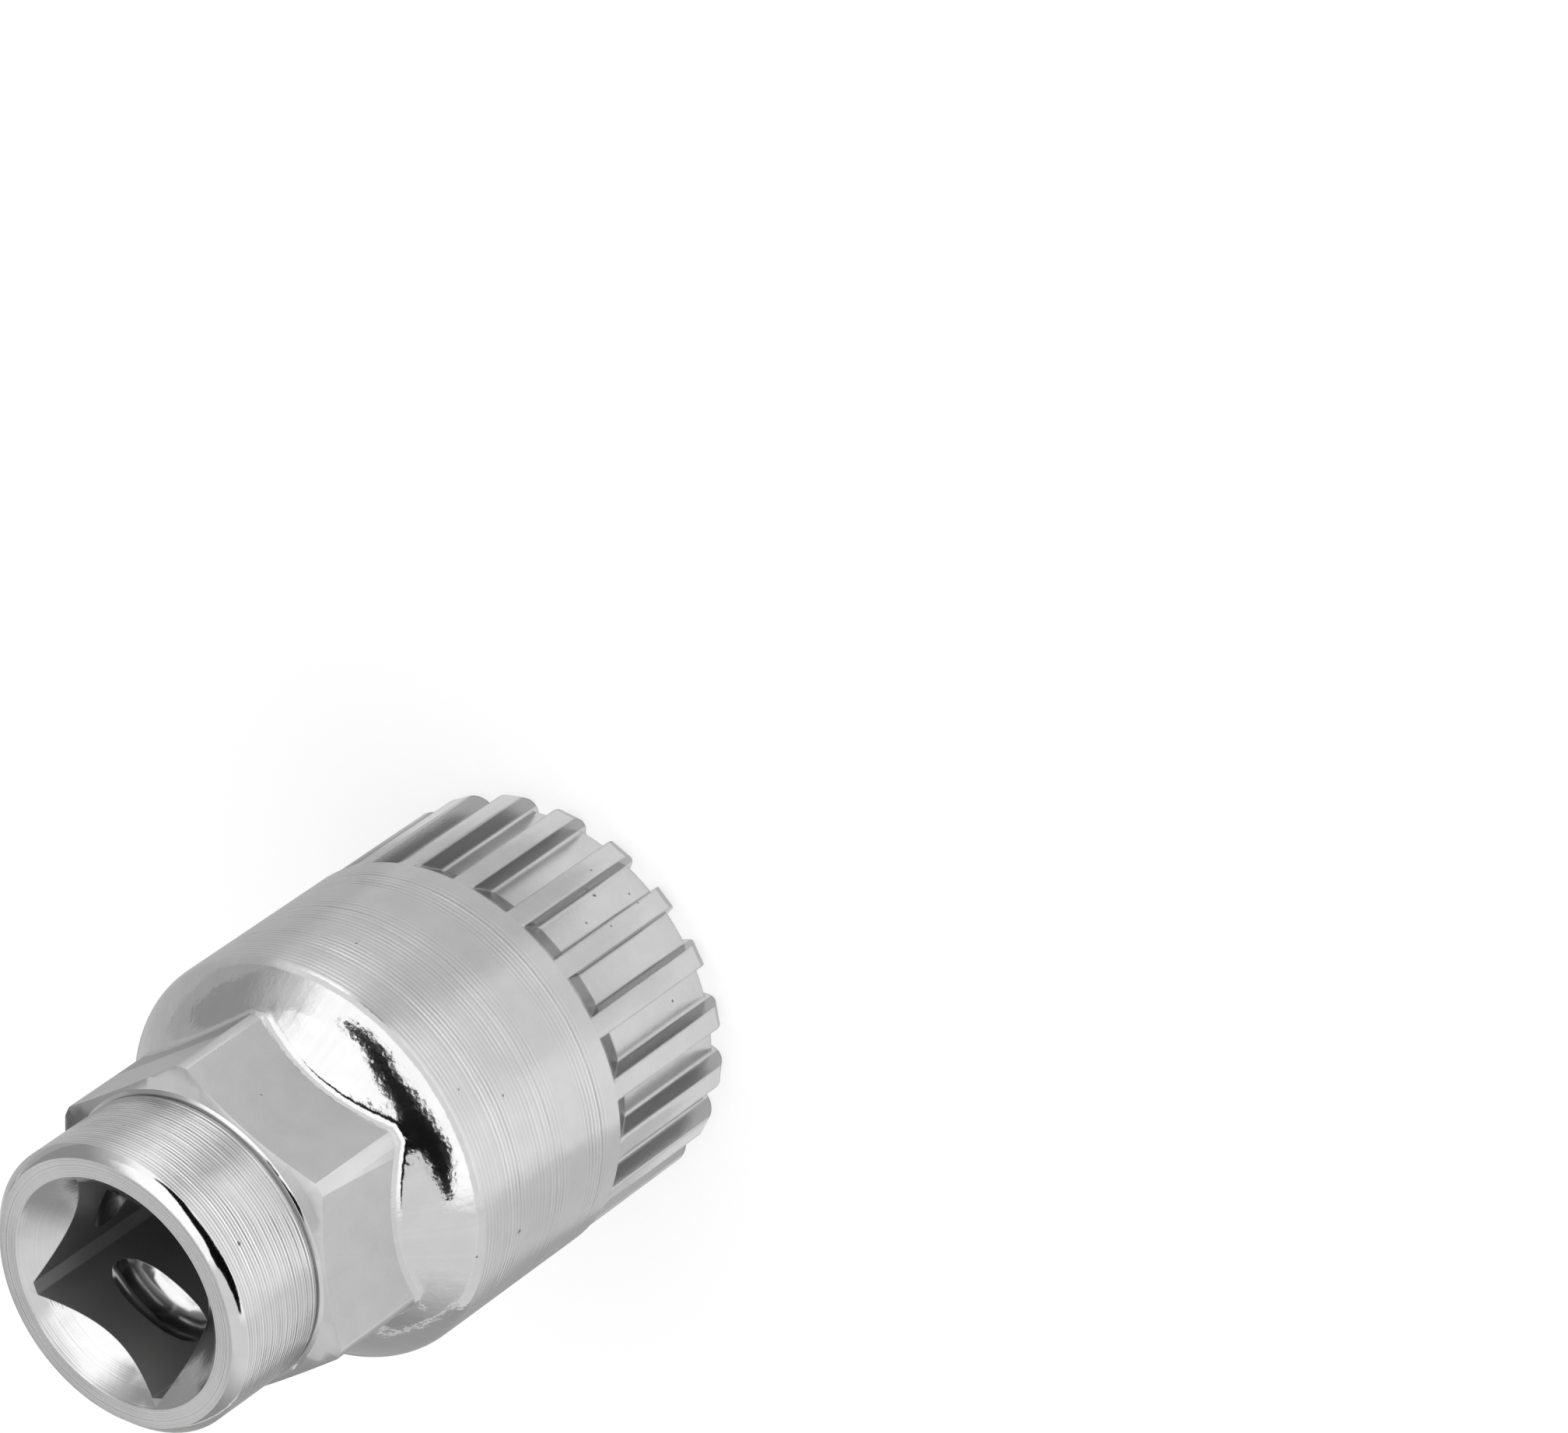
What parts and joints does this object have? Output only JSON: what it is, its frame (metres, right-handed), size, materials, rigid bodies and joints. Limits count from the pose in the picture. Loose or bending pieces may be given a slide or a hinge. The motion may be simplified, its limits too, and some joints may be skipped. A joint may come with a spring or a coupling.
{
  "type": "bottom bracket tool",
  "caption": "Plated steel socket that turns a cartridge bottom bracket's splined cup, with a square drive hole, a hexagon for a spanner and a bore that clears the spindle.",
  "frame": {"origin": "centre of the end face of the spline, which the tool stands on", "axes": "+Z along the turning axis towards the square drive, +X through a tooth and a corner of the hexagon, square drive with its sides along X and Y"},
  "size_m": [0.032, 0.032, 0.0512],
  "materials": {
    "plated_steel": "bright nickel and chrome plate, satin on the turned body and flats, near mirror on the shoulder and chamfers"
  },
  "bodies": {
    "root": {"bottom_bracket_tool": "plated_steel"}
  },
  "joints": []
}
